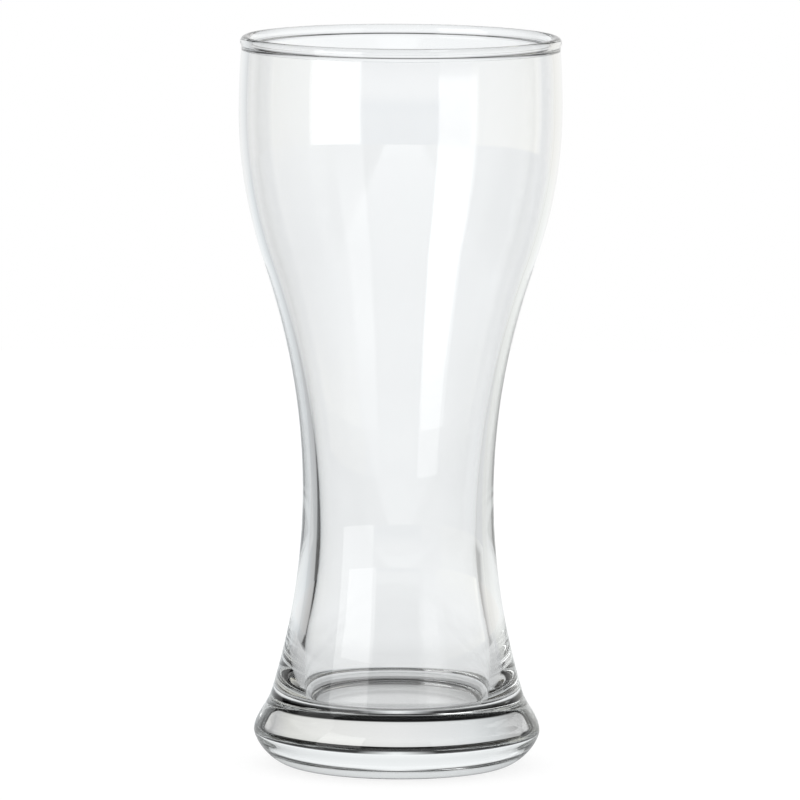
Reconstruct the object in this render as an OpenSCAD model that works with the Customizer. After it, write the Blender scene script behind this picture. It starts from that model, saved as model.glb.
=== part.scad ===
// Clear pilsner glass: a waisted bowl with a fire-finished rim, on a solid rounded foot.
// It stands on the XY plane with its axis along +Z. Lengths are millimetres.
// The glass is one fused piece. Its rim, bowl, stem and foot are formed one after another, and
// they meet here on three level faces.

/* [Outside diameters] */
// Widest part of the bowl
bulge_d = 79.5; // [66:0.1:100]
// Narrowest part of the waist
waist_d = 47.1; // [36:0.1:58]
// Ankle, where the wall runs out into the foot
ankle_d = 62.1; // [50:0.1:68]
// Widest part of the foot
foot_d = 70.6; // [62:0.2:90]
// Outer edge of the flat ring that the glass stands on
rest_d = 54; // [40:0.5:60]

/* [Heights] */
// From the table up to the widest part of the foot
heel_rise = 8.3; // [5:0.1:12]
// From the widest part of the foot up to the ankle
ankle_rise = 9.4; // [8:0.1:16]
// From the ankle up to the waist
waist_rise = 49.7; // [36:0.1:70]
// From the waist up to the steepest part of the flank
flank_rise = 56.6; // [40:0.1:80]
// From the steepest part of the flank up to the widest part of the bowl
shoulder_rise = 37.8; // [25:0.1:55]
// From the widest part of the bowl up to the underside of the bead
brim_rise = 15.9; // [10:0.1:30]

/* [Wall] */
// How far the wall draws in from the widest part of the bowl to the bead
brim_inset = 0.6; // [0:0.1:4]
// Thickness just under the bead
brim_wall = 2.1; // [1.2:0.1:3]
// Thickness at the widest part of the bowl
bulge_wall = 2; // [1.2:0.1:3.5]
// Thickness at the neck, the narrowest place inside
neck_wall = 4.6; // [2:0.1:8]
// Thickness at the widest place of the lower chamber
chamber_wall = 7.5; // [3:0.1:10]
// How far the neck lies below the waist
neck_drop = 11; // [2:0.5:16]
// How far the bead stands proud of the wall on either side
bead_proud = 0.35; // [0.1:0.05:0.8]

/* [Base] */
// Height of the floor of the lower chamber above the table
floor_rise = 15.5; // [12:0.1:24]
// Height of the rounded corner between that floor and the wall
corner_rise = 1.6; // [1.5:0.1:8]
// Width of that rounded corner
corner_run = 2; // [1.5:0.1:10]
// Width of the flat standing ring
rest_run = 1.5; // [1:0.1:5]
// Height of the hollow under the base
hollow_rise = 2.9; // [0.5:0.1:7]
// Width of the curve round the flat roof of that hollow
hollow_run = 4.5; // [4:0.1:14]

/* [Hidden] */
$fn = 128;
// Straight stretches in the outline of the bowl, of the stem and of a rounded corner
bowl_steps = 48;
stem_steps = 28;
corner_steps = 12;
// Place of the steepest point between the lower chamber and the neck, as a share of the way up
chamber_bend_share = 0.5;
// Power of the heel's curve: 2 would make it a quarter of an ellipse, and less draws it flatter
heel_power = 1.55;

bulge_r = bulge_d / 2;
brim_r = bulge_r - brim_inset;
waist_r = waist_d / 2;
ankle_r = ankle_d / 2;
foot_r = foot_d / 2;
rest_r = rest_d / 2;
hollow_r = rest_r - rest_run;
roof_r = hollow_r - hollow_run;

heel_z = heel_rise;
ankle_z = heel_z + ankle_rise;
waist_z = ankle_z + waist_rise;
flank_z = waist_z + flank_rise;
bulge_z = flank_z + shoulder_rise;
brim_z = bulge_z + brim_rise;
neck_z = waist_z - neck_drop;
// The stem meets the foot level with the widest place of the lower chamber
seam_z = floor_rise + corner_rise;

bead_r = brim_wall / 2 + bead_proud;
bead_centre_r = brim_r - brim_wall / 2;
bead_centre_z = brim_z + sqrt(bead_r * bead_r - brim_wall * brim_wall / 4);

// Slope of the outside at the ankle: radius lost for each unit of height
ankle_slope = -2 * (ankle_r - waist_r) / waist_rise;

chamber_r = outer_r(seam_z) - chamber_wall;
neck_r = outer_r(neck_z) - neck_wall;
inner_bulge_r = bulge_r - bulge_wall;
inner_brim_r = brim_r - brim_wall;

glass_color = [0.84, 0.90, 0.92, 0.45];

// Curve from 0 to 1 that starts and ends level and is steepest at share k of the way
function sway(t, k) = t < k ? t * t / k : 1 - (1 - t) * (1 - t) / (1 - k);

// Shoulder of the foot: upright at its widest part, in line with the wall at the ankle
function foot_shoulder_r(t) =
    foot_r + (ankle_r - foot_r) * t * t * (3 - 2 * t) + ankle_slope * ankle_rise * t * t * (t - 1);

// Radius of the outside at height z, from the widest part of the foot to the brim
function outer_r(z) =
    z < ankle_z ? foot_shoulder_r((z - heel_z) / ankle_rise) :
    z < waist_z ? waist_r + (ankle_r - waist_r) * pow((waist_z - z) / waist_rise, 2) :
    z < bulge_z ? waist_r + (bulge_r - waist_r)
        * sway((z - waist_z) / (bulge_z - waist_z), flank_rise / (bulge_z - waist_z)) :
    bulge_r + (brim_r - bulge_r) * pow((z - bulge_z) / brim_rise, 2);

// Radius of the inside at height z, from the lower chamber to the brim
function inner_r(z) =
    z < neck_z ? chamber_r + (neck_r - chamber_r)
        * sway((z - seam_z) / (neck_z - seam_z), chamber_bend_share) :
    z < bulge_z ? neck_r + (inner_bulge_r - neck_r)
        * sway((z - neck_z) / (bulge_z - neck_z), (flank_z - neck_z) / (bulge_z - neck_z)) :
    inner_bulge_r + (inner_brim_r - inner_bulge_r) * pow((z - bulge_z) / brim_rise, 2);

// Evenly spaced values from the first to the last
function spaced(first, last, steps) = [for (i = [0 : steps]) first + (last - first) * i / steps];

// Section of the wall between two heights
function wall_section(low_z, high_z, steps) = concat(
    [for (z = spaced(low_z, high_z, steps)) [outer_r(z), z]],
    [for (z = spaced(high_z, low_z, steps)) [inner_r(z), z]]);

// Rounded lip of the rim, seated on the top of the wall
module rim_bead() {
    color(glass_color)
    rotate_extrude()
    difference() {
        translate([bead_centre_r, bead_centre_z]) circle(r = bead_r);
        translate([bead_centre_r - bead_r, brim_z - bead_r]) square([2 * bead_r, bead_r]);
    }
}

// Wall of the bowl, from the waist up to the bead
module bowl() {
    color(glass_color)
    rotate_extrude()
    polygon(wall_section(waist_z, brim_z, bowl_steps));
}

// Thick wall of the stem, from the lower chamber up to the waist
module stem() {
    color(glass_color)
    rotate_extrude()
    polygon(wall_section(seam_z, waist_z, stem_steps));
}

// Solid base with a rounded heel, a flat standing ring, a hollow below and a level floor above
module foot() {
    hollow = [for (r = spaced(roof_r, hollow_r, corner_steps))
        [r, hollow_rise * (1 - pow((r - roof_r) / hollow_run, 2))]];
    heel = [for (a = spaced(0, 90, corner_steps))
        [rest_r + (foot_r - rest_r) * pow(sin(a), 2 / heel_power),
            heel_rise * (1 - pow(cos(a), 2 / heel_power))]];
    shoulder = [for (z = spaced(heel_z, seam_z, corner_steps)) if (z > heel_z) [outer_r(z), z]];
    corner = [for (a = spaced(0, 90, corner_steps))
        [chamber_r - corner_run * (1 - cos(a)), seam_z - corner_rise * sin(a)]];
    color(glass_color)
    rotate_extrude()
    polygon(concat([[0, hollow_rise]], hollow, heel, shoulder, corner, [[0, floor_rise]]));
}

rim_bead();
bowl();
stem();
foot();
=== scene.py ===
"""Clear pilsner glass: one closed body of glass, standing in a pale studio."""
import math

import bmesh
import bpy
from mathutils import Matrix, Vector


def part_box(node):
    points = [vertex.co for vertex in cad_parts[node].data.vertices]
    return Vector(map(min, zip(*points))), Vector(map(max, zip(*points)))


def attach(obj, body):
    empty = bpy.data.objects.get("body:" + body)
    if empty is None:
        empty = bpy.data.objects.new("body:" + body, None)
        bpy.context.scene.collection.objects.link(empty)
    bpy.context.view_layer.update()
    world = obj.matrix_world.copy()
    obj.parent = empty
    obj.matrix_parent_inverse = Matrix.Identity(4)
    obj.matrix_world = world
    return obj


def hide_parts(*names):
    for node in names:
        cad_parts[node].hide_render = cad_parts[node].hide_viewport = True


bl_info = {
    "name": "Pilsner Glass",
    "version": (1, 0, 0),
    "blender": (4, 5, 0),
    "location": "View3D > Sidebar > Glass",
    "description": "Turns a waisted pilsner glass on its axis and sets it in a pale studio",
    "category": "Add Mesh",
}

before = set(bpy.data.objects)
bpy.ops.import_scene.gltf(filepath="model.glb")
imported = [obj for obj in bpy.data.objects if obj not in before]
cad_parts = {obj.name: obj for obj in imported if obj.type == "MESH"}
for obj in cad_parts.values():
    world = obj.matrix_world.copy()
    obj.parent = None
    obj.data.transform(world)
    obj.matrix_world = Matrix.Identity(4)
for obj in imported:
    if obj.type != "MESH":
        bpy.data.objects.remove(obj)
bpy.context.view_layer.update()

MM = 0.001
ZONES = ("rim_bead", "bowl", "stem", "foot")
RIM_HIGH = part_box("rim_bead")[1]
BOWL_LOW, BOWL_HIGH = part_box("bowl")
FOOT_LOW, FOOT_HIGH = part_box("foot")
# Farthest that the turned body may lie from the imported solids
FIT = 0.05 * MM
# Smallest radius that still makes a ring of the mesh and not a point on the axis
ON_AXIS = 1e-9
DEGREES = 180 / math.pi


def size(label, text, default):
    """A length that a user may change, in metres."""
    return bpy.props.FloatProperty(
        name=label, description=text, default=default, min=0.0, precision=5, subtype="DISTANCE", unit="LENGTH")


def angle(label, text, degrees):
    """An angle that a user may change, given here in degrees."""
    return bpy.props.FloatProperty(
        name=label, description=text, default=math.radians(degrees), subtype="ANGLE", unit="ROTATION")


def colour(label, text, default):
    """A colour that a user may change."""
    return bpy.props.FloatVectorProperty(
        name=label, description=text, default=default, size=3, min=0.0, max=1.0, subtype="COLOR")


def share(label, text, default, highest=1.0):
    """A strength that a user may change, from nothing up."""
    return bpy.props.FloatProperty(
        name=label, description=text, default=default, min=0.0, max=highest, subtype="FACTOR")


class GlassSizes(bpy.types.PropertyGroup):
    """Sizes of the glass, from the table up."""

    bulge_d: size("Bulge", "Widest diameter of the bowl", BOWL_HIGH.x - BOWL_LOW.x)
    waist_d: size("Waist", "Narrowest diameter of the outside", 47.1 * MM)
    ankle_d: size("Ankle", "Diameter where the wall runs out into the foot", 62.1 * MM)
    foot_d: size("Foot", "Widest diameter of the foot", FOOT_HIGH.x - FOOT_LOW.x)
    rest_d: size("Standing ring", "Outer diameter of the flat standing ring", 54 * MM)
    heel_rise: size("Heel height", "From the table to the widest part of the foot", 8.3 * MM)
    ankle_rise: size("Ankle height", "From the widest part of the foot to the ankle", 9.4 * MM)
    waist_rise: size("Waist height", "From the ankle to the waist", 49.7 * MM)
    flank_rise: size("Flank height", "From the waist to the steepest part of the flank", 56.6 * MM)
    shoulder_rise: size("Shoulder height", "From the flank to the widest part of the bowl", 37.8 * MM)
    brim_rise: size("Brim height", "From the widest part of the bowl to the bead", 15.9 * MM)
    brim_inset: size("Brim inset", "How far the wall draws in towards the bead", 0.6 * MM)
    brim_wall: size("Brim wall", "Thickness under the bead", 2.1 * MM)
    bulge_wall: size("Bulge wall", "Thickness at the widest part of the bowl", 2 * MM)
    neck_wall: size("Neck wall", "Thickness at the narrowest place inside", 4.6 * MM)
    chamber_wall: size("Chamber wall", "Thickness at the widest place of the lower chamber", 7.5 * MM)
    neck_drop: size("Neck drop", "How far the neck lies below the waist", 11 * MM)
    bead_proud: size("Bead", "How far the bead stands proud of the wall", 0.35 * MM)
    floor_rise: size("Chamber floor", "Height of the floor of the chamber above the table", 15.5 * MM)
    corner_rise: size("Corner height", "Height of the round between chamber floor and wall", 1.6 * MM)
    corner_run: size("Corner width", "Width of that round", 2 * MM)
    rest_run: size("Ring width", "Width of the flat standing ring", 1.5 * MM)
    hollow_rise: size("Hollow", "Height of the hollow under the base", 2.9 * MM)
    hollow_run: size("Hollow edge", "Width of the curve round the roof of the hollow", 4.5 * MM)
    fire_round: size("Fire round", "How far the flame melts a sharp edge back", 0.4 * MM)
    turns: bpy.props.IntProperty(
        name="Turns", description="Number of flats round the body", default=192, min=24, max=512)


class GlassFinish(bpy.types.PropertyGroup):
    """Finish of the glass."""

    ior: bpy.props.FloatProperty(
        name="Refraction", description="Refractive index of soda-lime glass", default=1.52, min=1.0, max=2.0)
    body_tint: colour("Body tint", "Colour of a thick run of the glass", (0.80, 0.90, 0.87))
    body_depth: share("Tint depth", "How strongly a thick run takes on that colour, per metre", 1.6, 20.0)
    ripple: size("Ripple", "Height of the slow waves that forming leaves in the skin", 0.004 * MM)
    ripple_length: size("Ripple length", "Distance between those waves", 9 * MM)
    polish: share("Polish", "Roughness of the clean skin", 0.004)
    scuff: share("Scuff", "Roughness of the ring that rubs on the table", 0.18)
    scuff_rise: size("Scuff height", "How far up from the table the scuffs reach", 0.25 * MM)


class StudioLook(bpy.types.PropertyGroup):
    """Camera, floor and light."""

    camera_reach: size("Camera distance", "From the camera to the axis of the glass", 2.34)
    camera_rise: angle("Camera height", "How far the camera stands above the level", 6.83)
    camera_roll: angle("Camera roll", "How far the camera is turned about its own axis", 0.36)
    aim_height: size("Aim height", "Height of the point that the camera looks at", 90.2 * MM)
    aim_side: size("Aim side", "How far that point lies to the right of the axis", 0.296 * MM)
    lens: bpy.props.FloatProperty(
        name="Lens", description="Focal length in millimetres on a 36 mm sensor", default=427.5, min=1.0)
    floor_r: size("Floor radius", "Radius of the round floor", 0.9)
    floor_drop: size("Floor gap", "How far the floor lies under the standing ring", 0.3 * MM)
    floor_glow: share("Floor glow", "Brightness of the floor by itself, as seen by the camera", 0.85)
    floor_tone: colour("Floor tone", "Colour of the floor under the studio light", (0.20, 0.20, 0.20))


# Half outline of the glass


def sway(t, bend):
    """Curve from 0 to 1 that starts and ends level and is steepest at the bend."""
    return t * t / bend if t < bend else 1 - (1 - t) ** 2 / (1 - bend)


def spaced(first, last, steps):
    """Evenly spaced values from the first to the last."""
    return [first + (last - first) * i / steps for i in range(steps + 1)]


class Outline:
    """Radii of the outside and the inside of the glass at each height."""

    # Place of the steepest point between chamber and neck, as a share of the way up
    CHAMBER_BEND = 0.5
    # Power of the heel's curve: 2 would make it a quarter of an ellipse, and less draws it flatter
    HEEL_POWER = 1.55
    # Straight stretches in each part of the outline
    ROOF_STEPS, HOLLOW_STEPS, HEEL_STEPS, OUTSIDE_STEPS = 6, 36, 40, 156
    BEAD_STEPS, INSIDE_STEPS, CORNER_STEPS, FLOOR_STEPS = 26, 144, 24, 8
    MELT_STEPS = 8

    def __init__(self, s):
        self.s = s
        self.bulge_r, self.waist_r = s.bulge_d / 2, s.waist_d / 2
        self.ankle_r, self.foot_r, self.rest_r = s.ankle_d / 2, s.foot_d / 2, s.rest_d / 2
        self.brim_r = self.bulge_r - s.brim_inset
        self.hollow_r = self.rest_r - s.rest_run
        self.roof_r = self.hollow_r - s.hollow_run
        self.heel_z = s.heel_rise
        self.ankle_z = self.heel_z + s.ankle_rise
        self.waist_z = self.ankle_z + s.waist_rise
        self.flank_z = self.waist_z + s.flank_rise
        self.bulge_z = self.flank_z + s.shoulder_rise
        self.brim_z = self.bulge_z + s.brim_rise
        self.neck_z = self.waist_z - s.neck_drop
        self.seam_z = s.floor_rise + s.corner_rise
        self.ankle_slope = -2 * (self.ankle_r - self.waist_r) / s.waist_rise
        self.chamber_r = self.outer(self.seam_z) - s.chamber_wall
        self.neck_r = self.outer(self.neck_z) - s.neck_wall
        self.inner_bulge_r = self.bulge_r - s.bulge_wall
        self.inner_brim_r = self.brim_r - s.brim_wall

    def outer(self, z):
        """Radius of the outside, from the widest part of the foot to the brim."""
        if z < self.ankle_z:
            t = (z - self.heel_z) / self.s.ankle_rise
            return (self.foot_r + (self.ankle_r - self.foot_r) * t * t * (3 - 2 * t)
                    + self.ankle_slope * self.s.ankle_rise * t * t * (t - 1))
        if z < self.waist_z:
            return self.waist_r + (self.ankle_r - self.waist_r) * ((self.waist_z - z) / self.s.waist_rise) ** 2
        if z < self.bulge_z:
            rise = self.bulge_z - self.waist_z
            t = sway((z - self.waist_z) / rise, self.s.flank_rise / rise)
            return self.waist_r + (self.bulge_r - self.waist_r) * t
        return self.bulge_r + (self.brim_r - self.bulge_r) * ((z - self.bulge_z) / self.s.brim_rise) ** 2

    def inner(self, z):
        """Radius of the inside, from the lower chamber to the brim."""
        if z < self.neck_z:
            t = sway((z - self.seam_z) / (self.neck_z - self.seam_z), self.CHAMBER_BEND)
            return self.chamber_r + (self.neck_r - self.chamber_r) * t
        if z < self.bulge_z:
            rise = self.bulge_z - self.neck_z
            t = sway((z - self.neck_z) / rise, (self.flank_z - self.neck_z) / rise)
            return self.neck_r + (self.inner_bulge_r - self.neck_r) * t
        t = ((z - self.bulge_z) / self.s.brim_rise) ** 2
        return self.inner_bulge_r + (self.inner_brim_r - self.inner_bulge_r) * t

    def underside(self):
        """Roof and curved edge of the hollow under the base."""
        s = self.s
        roof = [(r, s.hollow_rise) for r in spaced(0, self.roof_r, self.ROOF_STEPS)]
        edge = [(r, s.hollow_rise * (1 - ((r - self.roof_r) / s.hollow_run) ** 2))
                for r in spaced(self.roof_r, self.hollow_r, self.HOLLOW_STEPS)[1:]]
        return roof + edge

    def heel(self):
        """Round from the standing ring up to the widest part of the foot."""
        power = 2 / self.HEEL_POWER
        angles = spaced(0, math.pi / 2, self.HEEL_STEPS)
        steps = [(math.sin(a) ** power, 1 - max(math.cos(a), 0.0) ** power) for a in angles]
        return [(self.rest_r + (self.foot_r - self.rest_r) * out, self.heel_z * up) for out, up in steps]

    def outside(self):
        return [(self.outer(z), z) for z in spaced(self.heel_z, self.brim_z, self.OUTSIDE_STEPS)[1:]]

    def bead(self):
        """Round lip that the flame leaves on the brim."""
        half = self.s.brim_wall / 2
        r = half + self.s.bead_proud
        lift = math.sqrt(r * r - half * half)
        start = -math.asin(lift / r)
        return [(self.brim_r - half + r * math.cos(a), self.brim_z + lift + r * math.sin(a))
                for a in spaced(start, math.pi - start, self.BEAD_STEPS)[1:-1]]

    def inside(self):
        return [(self.inner(z), z) for z in spaced(self.brim_z, self.seam_z, self.INSIDE_STEPS)]

    def chamber_corner(self):
        s = self.s
        return [(self.chamber_r - s.corner_run * (1 - math.cos(a)), self.seam_z - s.corner_rise * math.sin(a))
                for a in spaced(0, math.pi / 2, self.CORNER_STEPS)[1:]]

    def chamber_floor(self):
        edge = self.chamber_r - self.s.corner_run
        return [(r, self.s.floor_rise) for r in spaced(edge, 0, self.FLOOR_STEPS)[1:]]

    def closed(self):
        """Half outline from the axis under the base, round the outside and back to the axis inside."""
        lower = self.underside()
        upper = self.heel() + self.outside() + self.bead() + self.inside()
        line = melted(lower, upper, (self.hollow_r, 0.0), self.s.fire_round, self.MELT_STEPS)
        return line + self.chamber_corner() + self.chamber_floor()


def melted(before, after, corner, run, steps):
    """Joins two lines with a small round in place of the sharp edge between them."""
    edge = Vector(corner)
    kept_before = [p for p in before if (Vector(p) - edge).length > run]
    kept_after = [p for p in after if (Vector(p) - edge).length > run]
    start = edge + (Vector(kept_before[-1]) - edge).normalized() * run
    end = edge + (Vector(kept_after[0]) - edge).normalized() * run
    round_off = [start.lerp(edge, t).lerp(edge.lerp(end, t), t) for t in spaced(0, 1, steps)]
    return kept_before + [tuple(p) for p in round_off] + kept_after


def turned_mesh(name, line, turns):
    """Closed mesh of a half outline that starts and ends on the axis."""
    bm = bmesh.new()
    rings = []
    for r, z in line:
        if r < ON_AXIS:
            rings.append([bm.verts.new((0.0, 0.0, z))])
            continue
        steps = [2 * math.pi * i / turns for i in range(turns)]
        rings.append([bm.verts.new((r * math.cos(a), r * math.sin(a), z)) for a in steps])
    for low, high in zip(rings, rings[1:]):
        for i in range(turns):
            j = (i + 1) % turns
            corners = [low[i % len(low)], low[j % len(low)], high[j % len(high)], high[i % len(high)]]
            bm.faces.new(list(dict.fromkeys(corners)))
    bmesh.ops.recalc_face_normals(bm, faces=bm.faces)
    for face in bm.faces:
        face.smooth = True
    mesh = bpy.data.meshes.new(name)
    bm.to_mesh(mesh)
    bm.free()
    return mesh


# Node helpers


def put(tree, kind, settings=None, **inputs):
    """Adds a node; an input is a plain value or another node's output."""
    node = tree.nodes.new(kind)
    for key, value in (settings or {}).items():
        setattr(node, key, value)
    for key, value in inputs.items():
        fill(tree, node.inputs[key.replace("_", " ")], value)
    return node


def fill(tree, socket, value):
    """Sets a socket to a plain value, or links an output to it."""
    if isinstance(value, bpy.types.NodeSocket):
        tree.links.new(value, socket)
    else:
        socket.default_value = value


def sums(tree, operation, *values):
    """Result of one step of arithmetic."""
    node = put(tree, "ShaderNodeMath", {"operation": operation})
    for socket, value in zip(node.inputs, values):
        fill(tree, socket, value)
    return node.outputs[0]


def mixed(tree, factor, first, second, blend="MIX"):
    """One colour blended over another."""
    node = put(tree, "ShaderNodeMix", {"data_type": "RGBA", "blend_type": blend})
    fill(tree, node.inputs["Factor"], factor)
    fill(tree, node.inputs["A"], rgba(first))
    fill(tree, node.inputs["B"], rgba(second))
    return node.outputs["Result"]


def rgba(value):
    """Grey or colour with full cover; an output stays as it is."""
    if isinstance(value, bpy.types.NodeSocket):
        return value
    return (*value, 1.0) if isinstance(value, (tuple, list)) else (value, value, value, 1.0)


def stepped(tree, value, stops):
    """Colour or grey that changes along a value, from (value, colour) stops."""
    low, high = stops[0][0], stops[-1][0]
    share_along = put(tree, "ShaderNodeMapRange", Value=value, From_Min=low, From_Max=high).outputs[0]
    node = put(tree, "ShaderNodeValToRGB", Fac=share_along)
    marks = node.color_ramp.elements
    marks.remove(marks[1])
    marks[0].position = 0.0
    marks[0].color = rgba(stops[0][1])
    for at, tone in stops[1:]:
        marks.new((at - low) / (high - low)).color = rgba(tone)
    return node.outputs["Color"]


def between(tree, value, low, high, soft):
    """1 between two values and 0 outside them, with soft edges."""
    up = put(tree, "ShaderNodeMapRange", {"interpolation_type": "SMOOTHSTEP"},
             Value=value, From_Min=low - soft, From_Max=low + soft).outputs[0]
    down = put(tree, "ShaderNodeMapRange", {"interpolation_type": "SMOOTHSTEP"},
               Value=value, From_Min=high - soft, From_Max=high + soft, To_Min=1.0, To_Max=0.0).outputs[0]
    return sums(tree, "MULTIPLY", up, down)


def bearing(tree, x, y):
    """Degrees round the axis from straight behind the glass, + towards the right."""
    return sums(tree, "MULTIPLY", sums(tree, "ARCTAN2", x, y), DEGREES)


def emptied(tree):
    """A node tree without the nodes that it starts with."""
    for node in list(tree.nodes):
        tree.nodes.remove(node)
    return tree


# Glass

# Waves of the skin: drawn out along the height, with little fine detail
WAVE_STRETCH = (1.0, 1.0, 0.45)
WAVE_DETAIL, WAVE_ROUGHNESS = 1.5, 0.4
# Scuffs of the standing ring: fine rubs, clear of the skin between the two levels
RUBS_PER_METRE = 1400.0
RUB_DETAIL, RUB_ROUGHNESS = 4.0, 0.7
RUB_FROM, RUB_TO = 0.42, 0.62


def clear_glass(finish):
    """Polished soda-lime glass with the slow ripple of its forming and a scuffed standing ring."""
    material = bpy.data.materials.new("clear_soda_glass")
    material.use_nodes = True
    tree = emptied(material.node_tree)
    place = put(tree, "ShaderNodeTexCoord").outputs["Object"]
    height = put(tree, "ShaderNodeSeparateXYZ", Vector=place).outputs["Z"]

    drawn = put(tree, "ShaderNodeMapping", Vector=place, Scale=WAVE_STRETCH).outputs[0]
    waves = put(tree, "ShaderNodeTexNoise", Vector=drawn, Scale=1 / finish.ripple_length, Detail=WAVE_DETAIL,
                Roughness=WAVE_ROUGHNESS).outputs["Fac"]
    skin = put(tree, "ShaderNodeBump", Height=waves, Strength=1.0, Distance=finish.ripple).outputs[0]

    rubs = put(tree, "ShaderNodeTexNoise", Vector=place, Scale=RUBS_PER_METRE, Detail=RUB_DETAIL,
               Roughness=RUB_ROUGHNESS).outputs["Fac"]
    rubbed = put(tree, "ShaderNodeMapRange", Value=rubs, From_Min=RUB_FROM, From_Max=RUB_TO).outputs[0]
    near_table = put(tree, "ShaderNodeMapRange", Value=height, From_Min=0.0, From_Max=finish.scuff_rise,
                     To_Min=1.0, To_Max=0.0).outputs[0]
    worn = sums(tree, "MULTIPLY", rubbed, near_table)
    rough = put(tree, "ShaderNodeMapRange", Value=worn, To_Min=finish.polish, To_Max=finish.scuff).outputs[0]

    shader = put(tree, "ShaderNodeBsdfPrincipled", Roughness=rough, Normal=skin)
    shader.inputs["Base Color"].default_value = (1.0, 1.0, 1.0, 1.0)
    shader.inputs["IOR"].default_value = finish.ior
    shader.inputs["Transmission Weight"].default_value = 1.0
    depth = put(tree, "ShaderNodeVolumeAbsorption")
    depth.inputs["Color"].default_value = (*finish.body_tint, 1.0)
    depth.inputs["Density"].default_value = finish.body_depth
    put(tree, "ShaderNodeOutputMaterial", Surface=shader.outputs[0], Volume=depth.outputs[0])
    return material


class PILSNER_OT_glass_body(bpy.types.Operator):
    """Turn the rim, bowl, stem and foot as one body of glass"""

    bl_idname = "pilsner.glass_body"
    bl_label = "Glass Body"

    def execute(self, context):
        sizes, finish = context.scene.pilsner_sizes, context.scene.pilsner_finish
        line = Outline(sizes).closed()
        widest = max(r for r, z in line)
        tallest = max(z for r, z in line)
        if abs(widest - BOWL_HIGH.x) > FIT or abs(tallest - RIM_HIGH.z) > FIT:
            raise RuntimeError(f"the turned glass, {widest} by {tallest} m, doesn't fit the packed solids")
        mesh = turned_mesh("glass_body", line, sizes.turns)
        mesh.materials.append(clear_glass(finish))
        body = bpy.data.objects.new("glass_body", mesh)
        context.collection.objects.link(body)
        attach(body, "root")
        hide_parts(*ZONES)
        return {"FINISHED"}


# Studio: bearings are degrees from straight behind the glass, + towards the right, and heights are degrees

# Light that went straight through the glass: a white sweep up to a low edge, and a dark room over it
SWEEP_TINT = (0.995, 1.015, 1.025)
SWEEP_EDGE = (
    (-90, 1.0), (3, 1.0), (9, 0.95), (13, 0.90), (17, 0.80), (21, 0.60), (25, 0.02), (45, 0.01), (65, 0.3), (90, 0.4))
# The edge comes down towards both sides of the sweep, between these bearings
SWEEP_EDGE_ASIDE = (
    (-90, 1.0), (3, 1.0), (6, 0.90), (8, 0.30), (10, 0.05), (16, 0.02), (45, 0.01), (65, 0.3), (90, 0.4))
ASIDE_FROM, ASIDE_TO = 1, 12
# Light that was mirrored in the glass: the white sweep stands behind, with a pale ceiling high over it
MIRROR_EDGE = ((-90, 1.0), (3, 0.98), (7, 0.92), (13.4, 0.86), (14.8, 0.005), (90, 0.0))
MIRROR_SIDES = (
    (-180, 0.005), (-55, 0.005), (-51.5, 0.02), (-50, 0.50), (-42, 0.58), (-33, (0.70, 0.72, 0.73)),
    (-22, (0.86, 0.88, 0.89)), (0, 0.95), (19, (0.93, 0.93, 0.91)), (38, (0.84, 0.84, 0.81)), (48, 0.67), (52, 0.42),
    (60, 0.52), (66, 0.02), (180, 0.005))
CEILING = ((-90, 0.0), (50, 0.005), (70, 0.35), (90, 0.45))
# Things in the room that the glass mirrors: bearings from and to, and brightness by height
SOFTBOX = (-151, -112, ((-90, 0.0), (-11, 0.0), (-10, 1.8), (0, 1.7), (5, 1.65), (15, 1.8), (28, 1.9), (38, 1.4),
                        (41, 0.0), (90, 0.0)))
SOFTBOX_FROM_BEHIND = (-151, -119, ((-90, 0.0), (-8.2, 0.0), (-7.2, 1.7), (-4, 1.6), (4, 1.4), (8, 2.0), (20, 2.6),
                                    (36, 2.6), (40, 0.0), (90, 0.0)))
FILL = (128, 151, ((-90, 0.0), (-11, 0.0), (-10, 0.3), (-1, 0.45), (8, 0.6), (14, 0.75), (20, 0.9), (32, 0.4),
                   (40, 0.0), (90, 0.0)))
RIGHT_WALL = (60, 128, ((-90, 0.0), (-11, 0.0), (-10, (0.80, 0.76, 0.62)), (0, (0.73, 0.70, 0.58)),
                        (6, (0.50, 0.49, 0.45)), (20, 0.25), (35, 0.0), (90, 0.0)))
LEFT_WALL = (-112, -60, ((-90, 0.0), (-11, 0.0), (-10, (0.08, 0.068, 0.04)), (2, (0.08, 0.068, 0.04)), (10, 0.03),
                         (26, 0.03), (30, 0.65), (42, 0.65), (46, 0.0), (90, 0.0)))
FRONT_WALL = (151, 181, ((-90, 0.0), (-11, 0.0), (-10, (0.06, 0.12, 0.20)), (-2.2, (0.06, 0.12, 0.20)), (-0.8, 0.7),
                         (2, 0.7), (4, 0.2), (9, 0.02), (40, 0.0), (90, 0.0)))
# Black flag in front of the sweep that only the back of the glass mirrors
FLAG_FROM_BEHIND = (-28, 28, ((-90, 0.0), (3.4, 0.0), (4.2, 1.0), (7.4, 1.0), (8.2, 0.0), (90, 0.0)))
# Share of the front wall and of the floor in front that the back of the glass mirrors
FRONT_FROM_BEHIND = 0.2
# Distance in front of the axis, in metres, at which that part of the floor starts
FRONT_REACH = 0.1
# Softness of the upright edges of the things in the room, in degrees
EDGE_SOFT = 1.0
# Shade on the floor round the foot, by distance from the axis in metres
FOOT_SHADE = (
    (0.0, 0.70), (0.0155, 0.72), (0.0185, 0.50), (0.022, 0.44), (0.030, 0.50), (0.045, 0.80), (0.055, 0.84),
    (0.083, 0.84), (0.125, 0.90), (0.167, 0.93), (0.25, 0.93), (0.32, 0.95), (0.40, 0.955), (0.487, 0.98),
    (0.60, 0.98), (0.78, 1.0), (0.9, 1.0))
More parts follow.
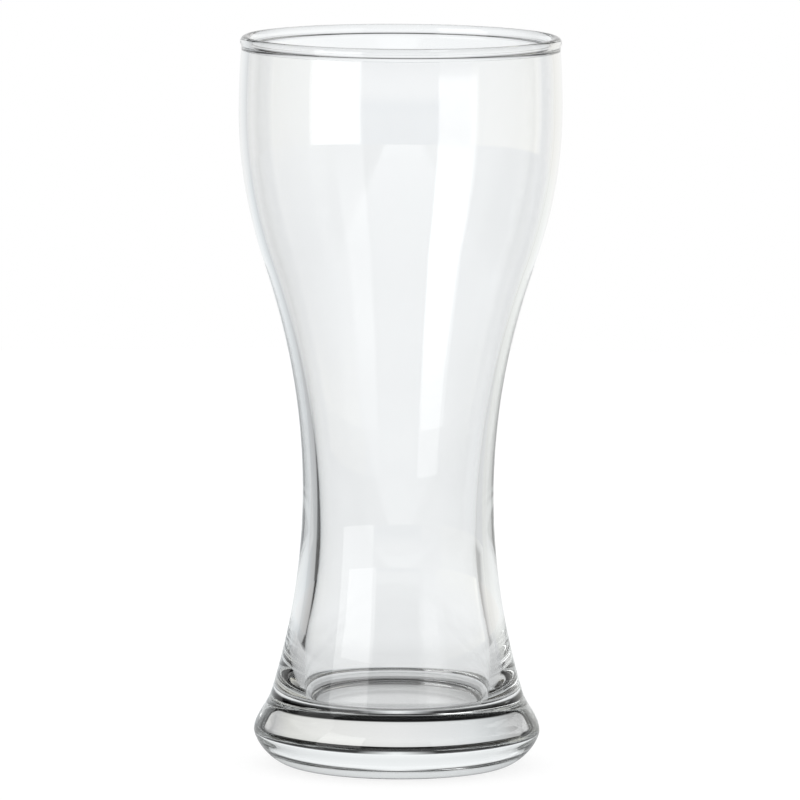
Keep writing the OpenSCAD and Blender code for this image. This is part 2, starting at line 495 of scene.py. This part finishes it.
# Painted reflection on the floor: a pale sheet that only light mirrored in the glass sees, dark beyond its sides and
# darker just in front of the glass, by distance to the right and behind in metres
PAINTED_SHEET_SIDES = ((-0.9, 0.12), (-0.21, 0.10), (-0.18, 0.4), (-0.155, 1.0), (0.21, 1.0), (0.245, 0.6),
               (0.28, (0.48, 0.48, 0.46)), (0.9, 0.45))
PAINTED_SHEET_DEPTH = ((-0.9, 1.1), (-0.75, 1.05), (-0.6, 0.9), (-0.45, 0.9), (-0.20, 0.66), (-0.08, 0.35), (0.0, 0.7),
               (0.9, 1.0))
# Brightness of the room on the floor
STUDIO_LIGHT = 1.0
# Light that passed the skin of the glass more than twice has been in its back wall
FRONT_PASSES = 2
HALF = 0.5
FLOOR_SIDES = 96
SENSOR_WIDTH = 36.0
CAMERA_SIGHT = 100.0
# Thick glass passes light many times before it comes out
BOUNCES, GLOSSY_BOUNCES = 32, 16


def path_of_light(tree, first_bounce):
    """What sees this place, the camera or the glass, and whether the glass mirrored the light on its way."""
    path = put(tree, "ShaderNodeLightPath").outputs
    bounces = sums(tree, "SUBTRACT", path["Ray Depth"], path["Transmission Depth"])
    mirrored = sums(tree, "GREATER_THAN", bounces, first_bounce + HALF)
    from_behind = sums(tree, "GREATER_THAN", path["Transmission Depth"], FRONT_PASSES + HALF)
    glass = sums(tree, "MAXIMUM", path["Is Glossy Ray"], path["Is Transmission Ray"])
    return path["Is Camera Ray"], glass, mirrored, from_behind


def panel(tree, round_axis, height, thing):
    """Brightness of one thing in the room."""
    first, last, heights = thing
    return mixed(tree, between(tree, round_axis, first, last, EDGE_SOFT), 0.0, stepped(tree, height, heights))


def studio_world(name):
    """White sweep and dark room for the glass, plain light for the floor, white for the camera."""
    world = bpy.data.worlds.new(name)
    world.use_nodes = True
    tree = emptied(world.node_tree)
    look = put(tree, "ShaderNodeTexCoord").outputs["Generated"]
    x, y, z = put(tree, "ShaderNodeSeparateXYZ", Vector=look).outputs
    height = sums(tree, "MULTIPLY", sums(tree, "ARCSINE", z), DEGREES)
    round_axis = bearing(tree, x, y)
    camera, glass, mirrored, from_behind = path_of_light(tree, 1)

    aside = put(tree, "ShaderNodeMapRange", Value=sums(tree, "ABSOLUTE", round_axis), From_Min=ASIDE_FROM,
                From_Max=ASIDE_TO).outputs[0]
    edge = mixed(tree, aside, stepped(tree, height, SWEEP_EDGE), stepped(tree, height, SWEEP_EDGE_ASIDE))
    through = mixed(tree, 1.0, edge, SWEEP_TINT, "MULTIPLY")
    sweep = mixed(tree, 1.0, stepped(tree, height, MIRROR_EDGE), stepped(tree, round_axis, MIRROR_SIDES), "MULTIPLY")
    flag = panel(tree, round_axis, height, FLAG_FROM_BEHIND)
    sweep = mixed(tree, sums(tree, "MULTIPLY", from_behind, flag), sweep, 0.0)
    mirror = mixed(tree, 1.0, sweep, stepped(tree, height, CEILING), "ADD")
    softbox = mixed(tree, from_behind, panel(tree, round_axis, height, SOFTBOX),
                    panel(tree, round_axis, height, SOFTBOX_FROM_BEHIND))
    mirror = mixed(tree, 1.0, mirror, softbox, "ADD")
    for thing in (FILL, RIGHT_WALL, LEFT_WALL):
        mirror = mixed(tree, 1.0, mirror, panel(tree, round_axis, height, thing), "ADD")
    front = panel(tree, sums(tree, "ABSOLUTE", round_axis), height, FRONT_WALL)
    front = mixed(tree, sums(tree, "MULTIPLY", from_behind, 1 - FRONT_FROM_BEHIND), front, 0.0)
    mirror = mixed(tree, 1.0, mirror, front, "ADD")

    shown = mixed(tree, mirrored, through, mirror)
    tone = mixed(tree, glass, STUDIO_LIGHT, shown)
    tone = mixed(tree, camera, tone, 1.0)
    sky = put(tree, "ShaderNodeBackground", Color=tone)
    put(tree, "ShaderNodeOutputWorld", Surface=sky.outputs[0])
    return world


def floor_finish(look):
    """Pale floor: white with a faint shadow for the camera; for the glass it glows as the sweep, with painted shade
    round the foot and a painted reflection of a pale sheet.
    """
    material = bpy.data.materials.new("pale_floor")
    material.use_nodes = True
    tree = emptied(material.node_tree)
    place = put(tree, "ShaderNodeNewGeometry").outputs["Position"]
    x, y = put(tree, "ShaderNodeSeparateXYZ", Vector=place).outputs[:2]
    level = put(tree, "ShaderNodeCombineXYZ", X=x, Y=y).outputs[0]
    reach = put(tree, "ShaderNodeVectorMath", {"operation": "LENGTH"}, Vector=level).outputs["Value"]

    through = mixed(tree, 1.0, stepped(tree, reach, FOOT_SHADE), SWEEP_TINT, "MULTIPLY")
    # Painted reflection: a pale sheet on the floor that only light mirrored in the glass sees, lightened by bearing
    # like the sweep
    painted_sheet = mixed(tree, 1.0, stepped(tree, x, PAINTED_SHEET_SIDES), stepped(tree, y, PAINTED_SHEET_DEPTH), "MULTIPLY")
    sweep = mixed(tree, 1.0, painted_sheet, stepped(tree, bearing(tree, x, y), MIRROR_SIDES), "LIGHTEN")
    mirror = mixed(tree, 1.0, through, sweep, "MULTIPLY")

    camera, glass, mirrored, from_behind = path_of_light(tree, 0)
    # Painted shade: the floor in front shows darker to light that the back of the glass mirrors
    in_front = sums(tree, "MULTIPLY", from_behind, sums(tree, "LESS_THAN", y, -FRONT_REACH))
    mirror = mixed(tree, sums(tree, "MULTIPLY", in_front, 1 - FRONT_FROM_BEHIND), mirror, 0.0)
    shown = put(tree, "ShaderNodeEmission", Color=mixed(tree, mirrored, through, mirror))
    paint = put(tree, "ShaderNodeBsdfDiffuse", Color=rgba(tuple(look.floor_tone)))
    glow = put(tree, "ShaderNodeEmission", Color=rgba(look.floor_glow))
    pale = put(tree, "ShaderNodeAddShader")
    tree.links.new(paint.outputs[0], pale.inputs[0])
    tree.links.new(glow.outputs[0], pale.inputs[1])
    seen = put(tree, "ShaderNodeMixShader", Fac=camera)
    tree.links.new(shown.outputs[0], seen.inputs[1])
    tree.links.new(pale.outputs[0], seen.inputs[2])
    put(tree, "ShaderNodeOutputMaterial", Surface=seen.outputs[0])
    return material


def studio_camera(context, look):
    """Camera in front of the glass, a little above its middle and looking slightly down."""
    lens = bpy.data.cameras.new("studio_camera")
    lens.sensor_width = SENSOR_WIDTH
    lens.lens = look.lens
    lens.clip_end = CAMERA_SIGHT
    camera = bpy.data.objects.new("studio_camera", lens)
    context.collection.objects.link(camera)
    aim = Vector((look.aim_side, 0.0, look.aim_height))
    away = Vector((0.0, -math.cos(look.camera_rise), math.sin(look.camera_rise)))
    turn = (-away).to_track_quat("-Z", "Y").to_matrix().to_4x4()
    roll = Matrix.Rotation(look.camera_roll, 4, "Z")
    camera.matrix_world = Matrix.Translation(aim + away * look.camera_reach) @ turn @ roll
    context.scene.camera = camera


class PILSNER_OT_studio(bpy.types.Operator):
    """Set the floor, the light and the camera round the glass"""

    bl_idname = "pilsner.studio"
    bl_label = "Studio"

    def execute(self, context):
        scene, look = context.scene, context.scene.pilsner_studio
        mesh = bpy.data.meshes.new("floor")
        bm = bmesh.new()
        bmesh.ops.create_circle(bm, cap_ends=True, segments=FLOOR_SIDES, radius=look.floor_r)
        bmesh.ops.translate(bm, verts=bm.verts, vec=(0.0, 0.0, -look.floor_drop))
        bm.to_mesh(mesh)
        bm.free()
        mesh.materials.append(floor_finish(look))
        floor = bpy.data.objects.new("floor", mesh)
        context.collection.objects.link(floor)
        scene.world = studio_world("studio")
        studio_camera(context, look)
        scene.view_settings.view_transform = "Standard"
        scene.cycles.max_bounces = BOUNCES
        scene.cycles.transmission_bounces = BOUNCES
        scene.cycles.glossy_bounces = GLOSSY_BOUNCES
        return {"FINISHED"}


class PILSNER_PT_panel(bpy.types.Panel):
    """Sizes, finish and studio of the glass"""

    bl_idname = "PILSNER_PT_panel"
    bl_label = "Pilsner Glass"
    bl_space_type = "VIEW_3D"
    bl_region_type = "UI"
    bl_category = "Glass"

    def draw(self, context):
        scene = context.scene
        for group, make in (
                (scene.pilsner_sizes, None), (scene.pilsner_finish, "pilsner.glass_body"),
                (scene.pilsner_studio, "pilsner.studio")):
            box = self.layout.box()
            for key in group.__annotations__:
                box.prop(group, key)
            if make:
                box.operator(make)


GROUPS = (("pilsner_sizes", GlassSizes), ("pilsner_finish", GlassFinish), ("pilsner_studio", StudioLook))
CLASSES = (PILSNER_OT_glass_body, PILSNER_OT_studio, PILSNER_PT_panel)


def register():
    for key, group in GROUPS:
        bpy.utils.register_class(group)
        setattr(bpy.types.Scene, key, bpy.props.PointerProperty(type=group))
    for made in CLASSES:
        bpy.utils.register_class(made)


def unregister():
    for made in reversed(CLASSES):
        bpy.utils.unregister_class(made)
    for key, group in reversed(GROUPS):
        delattr(bpy.types.Scene, key)
        bpy.utils.unregister_class(group)


def main():
    register()
    bpy.ops.pilsner.glass_body()
    bpy.ops.pilsner.studio()


if __name__ == "__main__":
    main()
